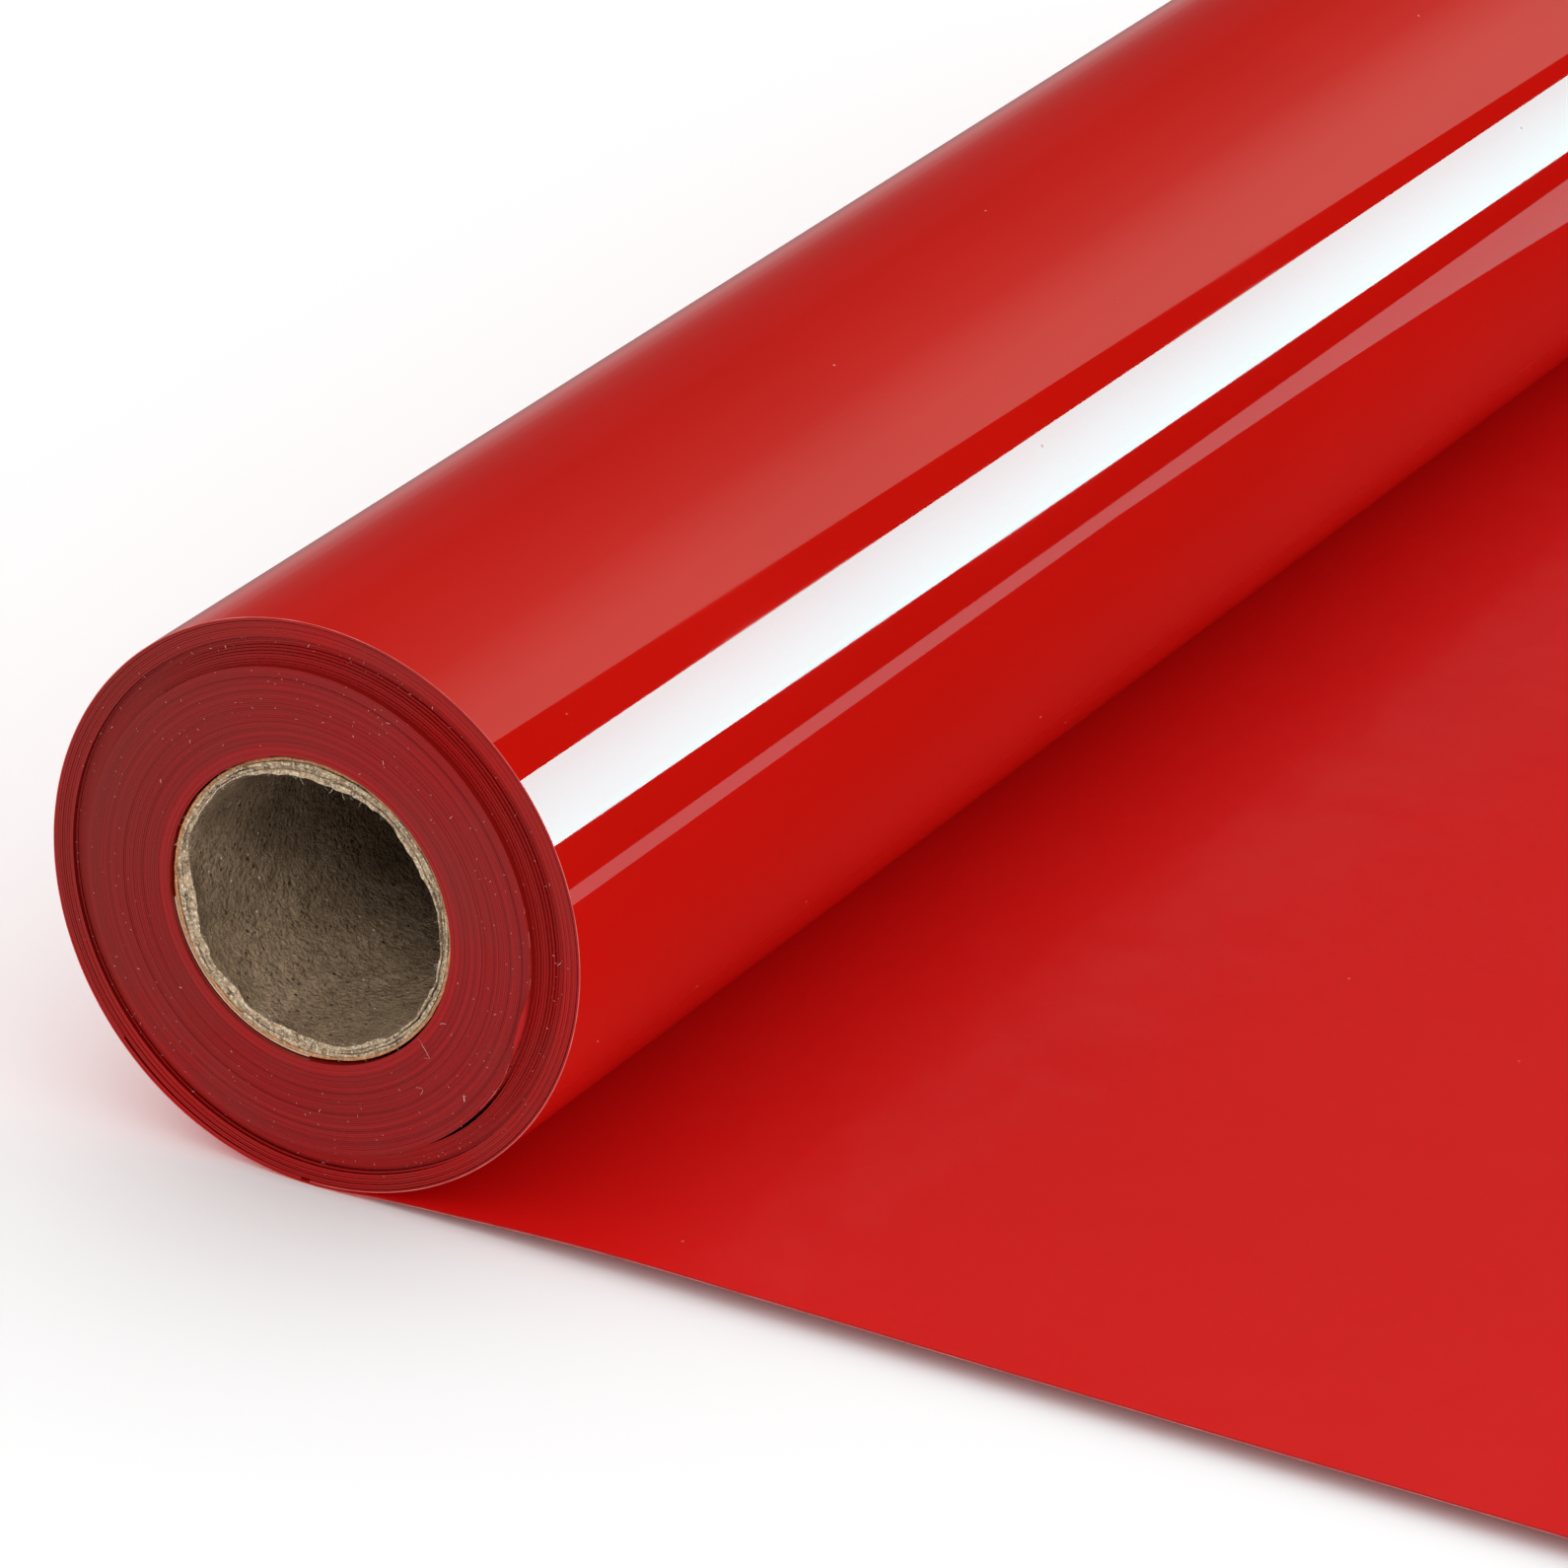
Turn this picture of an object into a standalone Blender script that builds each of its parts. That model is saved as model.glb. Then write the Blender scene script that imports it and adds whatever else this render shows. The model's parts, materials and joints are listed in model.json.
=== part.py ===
"""A roll of red sign-making vinyl, lying on a table with its free end drawn out flat.

X runs along the roll's axis, the free end of the web points to -Y, and Z is up. The near
end of the roll is at -X. The origin is on the table, at the centre of the object's box.
The web is two layers: a red film on the inside of the wind, and a clear glossy carrier
film on the outside. It is wound on a spiral-wound paperboard core.
"""

import math

import bmesh
import bpy

MM = 0.001

# Driving dimensions of the web and of the roll.
WEB_WIDTH = 305 * MM
CARRIER_THICKNESS = 0.08 * MM
FILM_THICKNESS = 0.10 * MM
BOND_GAP = 0.02 * MM  # between the film and its carrier
ROLL_RADIUS = 26.6 * MM
LAID_LENGTH = 165 * MM  # flat web, from the line where it leaves the roll to its free end
TANGENT_LENGTH = 6 * MM  # the part of the flat web that belongs to the outermost turn
TURN_GAP = 0.06 * MM  # air between the outermost turn's start and its end

# The core is paperboard plies, wound one on another and glued.
BORE_RADIUS = 12.7 * MM
PLY_THICKNESS = 0.29 * MM
PLY_GAP = 0.02 * MM
CORE_PLIES = ("core_inner_ply", "core_middle_ply_1", "core_middle_ply_2", "core_outer_ply")

# The strip of tape that holds the web's inner end to the core.
TAPE_THICKNESS = 0.10 * MM
TAPE_ARC = math.radians(80)

# Wound turns: name, inner and outer radius, and how far the near end is set back from the
# outermost turn's. A minus sign means that it stands proud.
FIRST_TURNS = ("first_turns", 14.10 * MM, 15.20 * MM, -0.90 * MM)
INNER_PACK = ("inner_pack", 15.22 * MM, 22.50 * MM, -1.15 * MM)
LOOSE_TURNS = (
    ("loose_turns_inner", 22.85 * MM, 23.90 * MM, 0.30 * MM),
    ("loose_turns_middle", 23.95 * MM, 25.00 * MM, 0.50 * MM),
    ("loose_turns_outer", 25.05 * MM, 26.05 * MM, 0.15 * MM),
)
CORE_SET_BACK = -0.40 * MM

STEPS = 96  # facets around every turned piece

RED_FILM = ("red_film", (0.56, 0.020, 0.012), 0.42)
CLEAR_CARRIER = ("clear_carrier", (0.60, 0.022, 0.012), 0.06)
WOUND_EDGES = ("wound_edges", (0.25, 0.022, 0.020), 0.50)
PAPERBOARD = ("paperboard", (0.33, 0.25, 0.17), 0.90)
TAPE = ("tape", (0.72, 0.66, 0.50), 0.40)


def clear_scene():
    for obj in list(bpy.data.objects):
        bpy.data.objects.remove(obj, do_unlink=True)


def new_collection(name):
    made = bpy.data.collections.new(name)
    bpy.context.scene.collection.children.link(made)
    return made


def new_material(node_name, colour_name, colour, roughness):
    """A Principled BSDF of the piece's own, named for the piece and its colour."""
    material = bpy.data.materials.new(f"{node_name}_{colour_name}")
    material.use_nodes = True
    shader = material.node_tree.nodes["Principled BSDF"]
    shader.inputs["Base Color"].default_value = (*colour, 1.0)
    shader.inputs["Roughness"].default_value = roughness
    shader.inputs["Metallic"].default_value = 0.0
    return material


def new_object(collection, name, mesh, look, parent):
    obj = bpy.data.objects.new(name, mesh)
    collection.objects.link(obj)
    mesh.materials.append(new_material(name, *look))
    obj.parent = parent
    return obj


def new_axis(collection, name, parent, location):
    """An empty that stands on a joint's axis, for the pieces that move with it."""
    axis = bpy.data.objects.new(name, None)
    axis.empty_display_size = 10 * MM
    axis.location = location
    axis.parent = parent
    collection.objects.link(axis)
    return axis


def line_mesh(name, points, closed):
    mesh = bpy.data.meshes.new(name)
    edges = [(i, i + 1) for i in range(len(points) - 1)]
    if closed:
        edges.append((len(points) - 1, 0))
    mesh.from_pydata(points, edges, [])
    return mesh


def turn_about_axis(obj, angle, steps):
    """Sweeps the object's profile round the roll's axis: its local Z lies along X."""
    obj.rotation_euler = (0, math.pi / 2, 0)
    screw = obj.modifiers.new("turn", "SCREW")
    screw.axis = "Z"
    screw.angle = angle
    screw.steps = steps
    screw.render_steps = steps
    screw.use_merge_vertices = True
    screw.merge_threshold = 1e-6
    screw.use_smooth_shade = True


def tube(collection, name, inner, outer, centre_x, look, parent):
    """A plain tube of the web's width around the parent axis."""
    half = WEB_WIDTH / 2
    profile = [(outer, 0, half), (outer, 0, -half), (inner, 0, -half), (inner, 0, half)]
    obj = new_object(collection, name, line_mesh(name, profile, True), look, parent)
    obj.location.x = centre_x
    turn_about_axis(obj, 2 * math.pi, STEPS)
    return obj


def start_tape(collection, inner, centre_x, parent):
    """A strip of tape bent round part of the core, along its whole length."""
    half = WEB_WIDTH / 2
    profile = [(inner, 0, half), (inner, 0, -half)]
    tape = new_object(collection, "start_tape", line_mesh("start_tape", profile, False), TAPE, parent)
    tape.location.x = centre_x
    turn_about_axis(tape, TAPE_ARC, round(STEPS * TAPE_ARC / (2 * math.pi)))
    thicken(tape, TAPE_THICKNESS, 1)
    return tape


def thicken(obj, thickness, side):
    solid = obj.modifiers.new("thickness", "SOLIDIFY")
    solid.thickness = thickness
    solid.offset = side
    solid.use_even_offset = True


def turn_drop():
    """How much the radius falls over the outermost turn: one web and the gap under it."""
    return CARRIER_THICKNESS + BOND_GAP + FILM_THICKNESS + TURN_GAP


def outermost_turn_path(depth):
    """Points along the web, from its flat part onto the roll and once round it.

    depth is how far inside the web's outer face the path runs. The radius falls over the
    turn, so that the turn's end lies clear on top of its start.
    """
    points = [(0, -TANGENT_LENGTH, depth - ROLL_RADIUS)]
    for step in range(STEPS + 1):
        turned = 2 * math.pi * step / STEPS
        radius = ROLL_RADIUS - depth - turn_drop() * step / STEPS
        points.append((0, radius * math.sin(turned), -radius * math.cos(turned)))
    return points


def outermost_turn(collection, name, depth, thickness, centre_x, look, parent):
    """One layer of the outermost turn: the path, drawn out along the roll and thickened."""
    mesh = line_mesh(name, outermost_turn_path(depth), False)
    layer = bmesh.new()
    layer.from_mesh(mesh)
    bmesh.ops.translate(layer, verts=layer.verts, vec=(-WEB_WIDTH / 2, 0, 0))
    drawn = bmesh.ops.extrude_edge_only(layer, edges=layer.edges[:])
    moved = [item for item in drawn["geom"] if isinstance(item, bmesh.types.BMVert)]
    bmesh.ops.translate(layer, verts=moved, vec=(WEB_WIDTH, 0, 0))
    layer.to_mesh(mesh)
    layer.free()
    mesh.shade_smooth()
    turn = new_object(collection, name, mesh, look, parent)
    turn.location.x = centre_x
    thicken(turn, thickness, 1)
    return turn


def laid_layer(collection, name, bottom, thickness, centre_x, axis_y, look):
    """One layer of the flat web between the outermost turn and the free end."""
    start = axis_y - TANGENT_LENGTH - BOND_GAP
    end = axis_y - LAID_LENGTH
    bpy.ops.mesh.primitive_cube_add(
        size=1, location=(centre_x, (start + end) / 2, bottom + thickness / 2)
    )
    layer = bpy.context.active_object
    layer.name = name
    layer.data.name = name
    layer.scale = (WEB_WIDTH, start - end, thickness)
    bpy.ops.object.transform_apply(location=False, rotation=False, scale=True)
    layer.data.materials.append(new_material(name, *look))
    for home in list(layer.users_collection):
        home.objects.unlink(layer)
    collection.objects.link(layer)
    return layer


def build_core(collection, centre_x, parent):
    inner = BORE_RADIUS
    for name in CORE_PLIES:
        tube(collection, name, inner, inner + PLY_THICKNESS, centre_x, PAPERBOARD, parent)
        inner += PLY_THICKNESS + PLY_GAP
    start_tape(collection, inner, centre_x, parent)


def main():
    clear_scene()
    parts = new_collection("sign_vinyl_roll")
    set_backs = [INNER_PACK[3], *[turns[3] for turns in LOOSE_TURNS]]
    web_x = -(min(set_backs) + max(set_backs)) / 2
    axis_y = (LAID_LENGTH - ROLL_RADIUS + turn_drop() / 4) / 2

    carriage = new_axis(parts, "roll_travel_axis", None, (0, axis_y, ROLL_RADIUS))
    spin = new_axis(parts, "roll_spin_axis", carriage, (0, 0, 0))
    telescope = new_axis(parts, "pack_telescope_axis", spin, (0, 0, 0))

    build_core(parts, web_x + CORE_SET_BACK, telescope)
    for name, inner, outer, set_back in (FIRST_TURNS, INNER_PACK):
        tube(parts, name, inner, outer, web_x + set_back, WOUND_EDGES, telescope)
    for name, inner, outer, set_back in LOOSE_TURNS:
        tube(parts, name, inner, outer, web_x + set_back, WOUND_EDGES, spin)

    film_depth = CARRIER_THICKNESS + BOND_GAP
    outermost_turn(
        parts, "outer_turn_carrier", 0, CARRIER_THICKNESS, web_x, CLEAR_CARRIER, carriage
    )
    outermost_turn(
        parts, "outer_turn_film", film_depth, FILM_THICKNESS, web_x, RED_FILM, carriage
    )
    laid_layer(parts, "laid_carrier", 0, CARRIER_THICKNESS, web_x, axis_y, CLEAR_CARRIER)
    laid_layer(parts, "laid_film", film_depth, FILM_THICKNESS, web_x, axis_y, RED_FILM)


main()
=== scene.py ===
"""A roll of red sign-making vinyl on a pale table, with its free end drawn out flat.

Angles round the roll, called phi, run from straight up (+Z) toward the free end (-Y).
"""

import json
import math

import bmesh
import bpy
import numpy as np
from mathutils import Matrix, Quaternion, Vector

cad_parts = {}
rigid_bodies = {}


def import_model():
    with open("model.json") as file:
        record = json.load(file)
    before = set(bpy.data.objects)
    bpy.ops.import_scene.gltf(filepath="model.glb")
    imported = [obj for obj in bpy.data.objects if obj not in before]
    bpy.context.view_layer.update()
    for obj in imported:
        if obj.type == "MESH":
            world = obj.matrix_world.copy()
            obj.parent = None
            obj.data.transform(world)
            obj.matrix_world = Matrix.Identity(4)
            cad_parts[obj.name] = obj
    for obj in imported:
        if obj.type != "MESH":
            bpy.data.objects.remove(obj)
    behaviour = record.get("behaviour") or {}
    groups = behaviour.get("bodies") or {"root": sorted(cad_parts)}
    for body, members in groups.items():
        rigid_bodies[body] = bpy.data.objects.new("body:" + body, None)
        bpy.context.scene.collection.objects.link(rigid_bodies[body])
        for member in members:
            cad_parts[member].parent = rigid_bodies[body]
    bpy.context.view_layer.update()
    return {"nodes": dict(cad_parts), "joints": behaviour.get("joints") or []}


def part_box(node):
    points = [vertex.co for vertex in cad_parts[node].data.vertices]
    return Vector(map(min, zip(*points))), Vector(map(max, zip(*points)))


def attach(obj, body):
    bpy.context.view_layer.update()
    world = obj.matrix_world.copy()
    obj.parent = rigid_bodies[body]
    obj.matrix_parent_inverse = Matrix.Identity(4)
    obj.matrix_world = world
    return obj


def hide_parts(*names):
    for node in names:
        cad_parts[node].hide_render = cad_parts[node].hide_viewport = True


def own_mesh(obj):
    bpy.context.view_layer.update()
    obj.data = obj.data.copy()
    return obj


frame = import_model()

MM = 0.001
WEB_LO, WEB_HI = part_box("outer_turn_carrier")
NEAR, FAR = WEB_LO.x, WEB_HI.x  # the two ends of the outermost turn
SPIN = next(joint for joint in frame["joints"] if joint["name"] == "roll_spin")
AXIS_Y, AXIS_Z = SPIN["pos_m"][1:]
RADIUS = AXIS_Z  # the roll stands on the table

FILM = 0.10 * MM
CARRIER = 0.08 * MM
BOND = 0.02 * MM


# ---------------------------------------------------------------- shapes

def wobble(at, spacing, seed):
    """Smooth seeded noise from -1 to 1 along at, with one knot every spacing."""
    at = np.asarray(at, float) / spacing
    first = math.floor(at.min()) - 1
    knots = np.random.default_rng(seed).uniform(-1, 1, int(at.max() - first) + 3)
    index = np.floor(at).astype(int) - first
    share = at - np.floor(at)
    share = share * share * (3 - 2 * share)
    return knots[index] * (1 - share) + knots[index + 1] * share


def ring_wobble(phi, knots, seed):
    """The same, but it closes on itself round the roll."""
    values = np.random.default_rng(seed).uniform(-1, 1, knots)
    at = np.mod(phi / (2 * math.pi), 1.0) * knots
    index = np.floor(at).astype(int)
    share = at - index
    share = share * share * (3 - 2 * share)
    return values[index % knots] * (1 - share) + values[(index + 1) % knots] * share


def bump(phi, centre, width):
    """A smooth hump of height 1 at centre, in degrees, that ends width degrees away."""
    off = np.abs((np.degrees(phi) - centre + 180) % 360 - 180) / width
    return np.where(off < 1, 0.5 + 0.5 * np.cos(np.minimum(off, 1) * math.pi), 0)


def on_roll(x, radius, phi):
    """Points at those distances along the roll, radii and angles, as an (n, 3) array."""
    x, radius, phi = np.broadcast_arrays(x, radius, phi)
    return np.stack(
        [x, AXIS_Y - radius * np.sin(phi), AXIS_Z + radius * np.cos(phi)], axis=-1
    ).reshape(-1, 3)


def grid_faces(rows, columns, close_rows=False, close_columns=False):
    """Quads of a grid whose points are listed row by row."""
    i = np.arange(rows if close_rows else rows - 1)
    j = np.arange(columns if close_columns else columns - 1)
    i, j = (a.ravel() for a in np.meshgrid(i, j, indexing="ij"))
    i2, j2 = (i + 1) % rows, (j + 1) % columns
    return np.stack(
        [i * columns + j, i * columns + j2, i2 * columns + j2, i2 * columns + j], axis=-1
    )


def new_piece(name, points, faces, materials, which, body, nodes=(), sharp=40):
    """A smooth mesh piece with outward normals, riding on a body."""
    mesh = bpy.data.meshes.new(name)
    mesh.from_pydata(np.asarray(points).tolist(), [], [list(f) for f in faces])
    for material in materials:
        mesh.materials.append(material)
    mesh.polygons.foreach_set("material_index", np.asarray(which, np.int32))
    built = bmesh.new()
    built.from_mesh(mesh)
    bmesh.ops.recalc_face_normals(built, faces=built.faces)
    built.to_mesh(mesh)
    built.free()
    mesh.shade_smooth()
    mesh.set_sharp_from_angle(angle=math.radians(sharp))
    piece = bpy.data.objects.new(name, mesh)
    bpy.context.scene.collection.objects.link(piece)
    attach(piece, body)
    if nodes:
        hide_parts(*nodes)
    return piece


def swept(name, rings, materials, which, body, nodes=(), sharp=40):
    """A closed strip: rings is (steps, corners, 3), and which has one entry per corner."""
    steps, corners = rings.shape[:2]
    faces = grid_faces(steps, corners, close_columns=True).tolist()
    kinds = list(which) * (steps - 1)
    faces.append(list(range(corners)))
    faces.append([(steps - 1) * corners + k for k in range(corners)])
    kinds += [which[0], which[0]]
    new_piece(name, rings.reshape(-1, 3), faces, materials, kinds, body, nodes, sharp)


FIBRE_CORNERS = (0, 2.094, 4.189)  # the three corners of a fibre's section, in radians


def hairs(name, paths, thickness, material, body):
    """Thin three-sided fibres along the given point paths."""
    points, faces = [], []
    for path, width in zip(paths, thickness):
        path = np.asarray(path, float)
        along = np.gradient(path, axis=0)
        along /= np.linalg.norm(along, axis=1)[:, None] + 1e-12
        side = np.cross(along, (0.31, 0.52, 0.79))
        side /= np.linalg.norm(side, axis=1)[:, None] + 1e-12
        other = np.cross(along, side)
        taper = 0.35 + 0.65 * np.sin(np.linspace(0.25, math.pi - 0.25, len(path)))
        base = len(points)
        for k in range(len(path)):
            for turn in FIBRE_CORNERS:
                offset = side[k] * math.cos(turn) + other[k] * math.sin(turn)
                points.append(path[k] + offset * width / 2 * taper[k])
        faces += (grid_faces(len(path), 3, close_columns=True) + base).tolist()
        faces.append([base, base + 1, base + 2])
        end = base + 3 * (len(path) - 1)
        faces.append([end, end + 1, end + 2])
    new_piece(name, points, faces, [material], [0] * len(faces), body)


# ------------------------------------------------------------- materials

class Nodes:
    """Builds one material's node tree."""

    def __init__(self, name, colour, roughness, **sockets):
        self.material = bpy.data.materials.new(name)
        self.material.use_nodes = True
        self.tree = self.material.node_tree
        self.shader = self.tree.nodes["Principled BSDF"]
        self.shader.inputs["Base Color"].default_value = (*colour, 1)
        self.shader.inputs["Roughness"].default_value = roughness
        for socket, value in sockets.items():
            self.shader.inputs[socket.replace("_", " ")].default_value = value
        self.place = self.add("ShaderNodeTexCoord").outputs["Object"]

    def add(self, kind, links=None, values=None, **settings):
        """A node with its settings, its fixed input values and the links into it."""
        node = self.tree.nodes.new(kind)
        for key, value in settings.items():
            setattr(node, key, value)
        for key, value in (values or {}).items():
            node.inputs[key].default_value = value
        for key, source in (links or {}).items():
            self.tree.links.new(source, node.inputs[key])
        return node

    def noise(self, scale, detail=3, roughness=0.5, stretch=None):
        """Noise with scale features per metre, drawn out along the axes by stretch."""
        place = self.place
        if stretch:
            place = self.add(
                "ShaderNodeMapping", {"Vector": place}, {"Scale": stretch}
            ).outputs["Vector"]
        return self.add(
            "ShaderNodeTexNoise", {"Vector": place},
            {"Scale": scale, "Detail": detail, "Roughness": roughness},
        ).outputs["Fac"]

    def radius(self):
        """Distance from the roll's axis, in millimetres."""
        moved = self.add(
            "ShaderNodeMapping", {"Vector": self.place},
            {"Location": (0, -AXIS_Y / MM, -AXIS_Z / MM), "Scale": (0, 1 / MM, 1 / MM)},
        ).outputs["Vector"]
        return self.add(
            "ShaderNodeVectorMath", {0: moved}, operation="LENGTH"
        ).outputs["Value"]

    def rings(self, scale, detail=2):
        """Noise that depends on the distance from the roll's axis alone, per millimetre."""
        return self.add(
            "ShaderNodeTexNoise", {"W": self.radius()},
            {"Scale": scale, "Detail": detail}, noise_dimensions="1D",
        ).outputs["Fac"]

    def ramp(self, source, stops):
        """Colours along the source, from stops of (place, colour)."""
        node = self.add("ShaderNodeValToRGB", {"Fac": source})
        elements = node.color_ramp.elements
        while len(elements) < len(stops):
            elements.new(0.5)
        for element, (place, colour) in zip(elements, stops):
            element.position = place
            element.color = (*colour, 1)
        return node.outputs["Color"]

    def range(self, source, low, high, out_low, out_high):
        """The source, stretched from low..high to out_low..out_high."""
        return self.add(
            "ShaderNodeMapRange", {"Value": source},
            {"From Min": low, "From Max": high, "To Min": out_low, "To Max": out_high},
        ).outputs["Result"]

    def mix(self, factor, a, b):
        """Colour a where the factor is 0 and b where it is 1; each is a socket or a value."""
        node = self.add("ShaderNodeMix", data_type="RGBA", blend_type="MIX")
        for socket, value in ((0, factor), (6, a), (7, b)):
            if isinstance(value, bpy.types.NodeSocket):
                self.tree.links.new(value, node.inputs[socket])
            else:
                node.inputs[socket].default_value = value if socket == 0 else (*value, 1)
        return node.outputs[2]

    def specks(self, scale, size, keep=0.5):
        """Sparse dots: 1 inside a dot. scale is cells per metre, size a share of a cell."""
        cells = self.add(
            "ShaderNodeTexVoronoi", {"Vector": self.place}, {"Scale": scale}
        )
        dot = self.range(cells.outputs["Distance"], size * 0.6, size, 1, 0)
        chosen = self.add(
            "ShaderNodeSeparateColor", {"Color": cells.outputs["Color"]}
        ).outputs["Red"]
        few = self.add(
            "ShaderNodeMath", {0: chosen}, {1: keep}, operation="LESS_THAN"
        ).outputs["Value"]
        return self.add(
            "ShaderNodeMath", {0: dot, 1: few}, operation="MULTIPLY"
        ).outputs["Value"]

    def colour(self, source):
        self.tree.links.new(source, self.shader.inputs["Base Color"])

    def rough(self, source):
        self.tree.links.new(source, self.shader.inputs["Roughness"])

    def bumps(self, *layers):
        """Each layer is (height source, how far it stands out in metres)."""
        normal = None
        for source, distance in layers:
            links = {"Height": source}
            if normal is not None:
                links["Normal"] = normal
            normal = self.add(
                "ShaderNodeBump", links, {"Strength": 1.0, "Distance": distance}
            ).outputs["Normal"]
        self.tree.links.new(normal, self.shader.inputs["Normal"])


def gloss_carrier():
    """Clear glossy film over red: mirror-smooth, with a slow waviness, haze and dust."""
    made = Nodes("gloss_carrier", (0.52, 0.0058, 0.0029), 0.02, IOR=1.47)
    base = made.ramp(made.noise(22, 2), [
        (0.30, (0.495, 0.0054, 0.0026)), (0.70, (0.535, 0.0062, 0.0032)),
    ])
    dust = made.specks(210, 0.035, 0.30)
    made.colour(made.mix(dust, base, (0.80, 0.33, 0.30)))
    haze = made.noise(60, 4, stretch=(0.5, 1, 1))
    made.rough(made.range(haze, 0.35, 0.75, 0.012, 0.050))
    made.bumps(
        (made.noise(26, 1, stretch=(0.35, 1, 1)), 0.000012),
        (dust, 0.00004),
    )
    return made.material


def gloss_under():
    """The carrier's underside on the table, where the web is drawn out."""
    made = Nodes("gloss_under", (0.55, 0.0105, 0.0050), 0.06, IOR=1.5)
    made.colour(made.ramp(made.noise(30, 2), [
        (0.30, (0.52, 0.0098, 0.0046)), (0.70, (0.57, 0.0112, 0.0054)),
    ]))
    made.rough(made.range(made.noise(90, 3), 0.3, 0.7, 0.03, 0.10))
    made.bumps((made.noise(20, 1), 0.00002))
    return made.material


def satin_film():
    """The red film's open side: satin, even, with a fine tooth and a few specks."""
    made = Nodes("satin_film", (0.62, 0.0056, 0.0046), 0.42, IOR=1.45, Specular_IOR_Level=0.13)
    base = made.ramp(made.noise(14, 2), [
        (0.25, (0.605, 0.0051, 0.0041)), (0.75, (0.635, 0.0061, 0.0051)),
    ])
    dust = made.specks(170, 0.030, 0.22)
    made.colour(made.mix(dust, base, (0.72, 0.17, 0.15)))
    made.rough(made.range(made.noise(240, 4), 0.3, 0.7, 0.36, 0.44))
    made.bumps(
        (made.noise(16, 1), 0.00002),
        (made.noise(5200, 2), 0.0000018),
        (dust, 0.00004),
    )
    return made.material


def wound_edge(name, light, dark, brown):
    """Cut edges of wound film: rings of slightly different red, with a dusty brown haze, and a
    painted sheen that browns the face toward its top and back.
    """
    made = Nodes(name, light, 0.46, IOR=1.42, Specular_IOR_Level=0.13)
    rings = made.ramp(made.rings(2.6, 3), [(0.34, dark), (0.62, light)])
    dusty = made.range(made.noise(150, 4, 0.65), 0.40, 0.80, 0.0, 0.40)
    patches = made.range(made.noise(38, 2), 0.44, 0.68, 0.0, 0.50)
    browned = made.mix(patches, made.mix(dusty, rings, brown), brown)
    # Painted sheen: the face is mixed toward brown from its middle to its top and back, where it
    # would catch a reflection.
    across = made.add(
        "ShaderNodeVectorMath", {0: made.place}, {1: (0, 0.94, 0.34)}, operation="DOT_PRODUCT"
    ).outputs["Value"]
    middle = 0.94 * AXIS_Y + 0.34 * AXIS_Z
    browned = made.mix(
        made.range(across, middle + 0.28 * RADIUS, middle + 0.80 * RADIUS, 0.0, 0.65),
        browned, brown,
    )
    dust = made.specks(1500, 0.11, 0.10)
    made.colour(made.mix(dust, browned, (0.42, 0.19, 0.17)))
    made.rough(made.range(made.noise(700, 3), 0.3, 0.7, 0.38, 0.58))
    made.bumps((made.noise(3600, 3), 0.000012))
    return made.material


def web_side():
    """The face of a wound turn where it stands clear of its neighbour: saturated and glossy, and
    painted darker than the web's own red as shade in the gaps between the turns.
    """
    made = Nodes("wound_web_side_painted_shade", (0.24, 0.0050, 0.0034), 0.30, IOR=1.45)
    made.colour(made.ramp(made.noise(60, 3), [
        (0.3, (0.20, 0.0042, 0.0030)), (0.7, (0.27, 0.0056, 0.0038)),
    ]))
    made.rough(made.range(made.noise(200, 3), 0.3, 0.7, 0.14, 0.30))
    return made.material


def bright_edge():
    """The carrier's cut edge, painted pale pink as a highlight: the thin rim where the edge
    catches the light.
    """
    made = Nodes("carrier_cut_edge_painted_highlight", (0.62, 0.085, 0.075), 0.30, IOR=1.45)
    made.colour(made.ramp(made.noise(420, 3), [
        (0.35, (0.60, 0.070, 0.062)), (0.70, (0.80, 0.165, 0.145)),
    ]))
    made.rough(made.range(made.noise(900, 2), 0.3, 0.7, 0.22, 0.40))
    return made.material


def board_wall():
    """The core's bore: grey-brown recycled board, streaky along the winding, with specks."""
    made = Nodes("board_wall", (0.20, 0.155, 0.105), 0.92, Specular_IOR_Level=0.15)
    streaks = made.ramp(made.noise(260, 6, 0.62, stretch=(0.40, 1.0, 1.0)), [
        (0.30, (0.222, 0.153, 0.093)), (0.50, (0.305, 0.212, 0.132)),
        (0.72, (0.412, 0.298, 0.193)),
    ])
    mottled = made.mix(
        made.range(made.noise(1500, 4, 0.7), 0.40, 0.66, 0.0, 0.75), streaks,
        (0.160, 0.109, 0.066),
    )
    dark = made.mix(made.specks(1250, 0.26, 0.20), mottled, (0.060, 0.042, 0.027))
    made.colour(made.mix(made.specks(1000, 0.16, 0.16), dark, (0.62, 0.54, 0.42)))
    made.rough(made.range(made.noise(500, 3), 0.3, 0.7, 0.86, 0.98))
    made.bumps(
        (made.noise(700, 5, 0.7, stretch=(0.6, 1, 1)), 0.0011),
        (made.noise(2200, 3), 0.00035),
    )
    return made.material


def board_end(name, low, high, pale):
    """A ply's sawn end: fuzzy board with pale fibres and dark gaps."""
    made = Nodes(name, high, 0.95, Specular_IOR_Level=0.12)
    base = made.ramp(made.noise(1300, 5, 0.7), [(0.38, low), (0.58, high)])
    fuzz = made.range(made.noise(3600, 4, 0.75), 0.48, 0.64, 0.0, 0.90)
    made.colour(made.mix(fuzz, base, pale))
    made.rough(made.range(made.noise(800, 2), 0.3, 0.7, 0.88, 0.99))
    made.bumps((made.noise(2400, 5, 0.7), 0.00028))
    return made.material


def fuzz(name, low, high):
    """Loose fibres, whose colour varies from low to high."""
    made = Nodes(name, high, 0.8, Specular_IOR_Level=0.25)
    made.colour(made.ramp(made.noise(700, 2), [(0.3, low), (0.7, high)]))
    made.rough(made.range(made.noise(900, 2), 0.3, 0.7, 0.7, 0.95))
    return made.material


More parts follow.
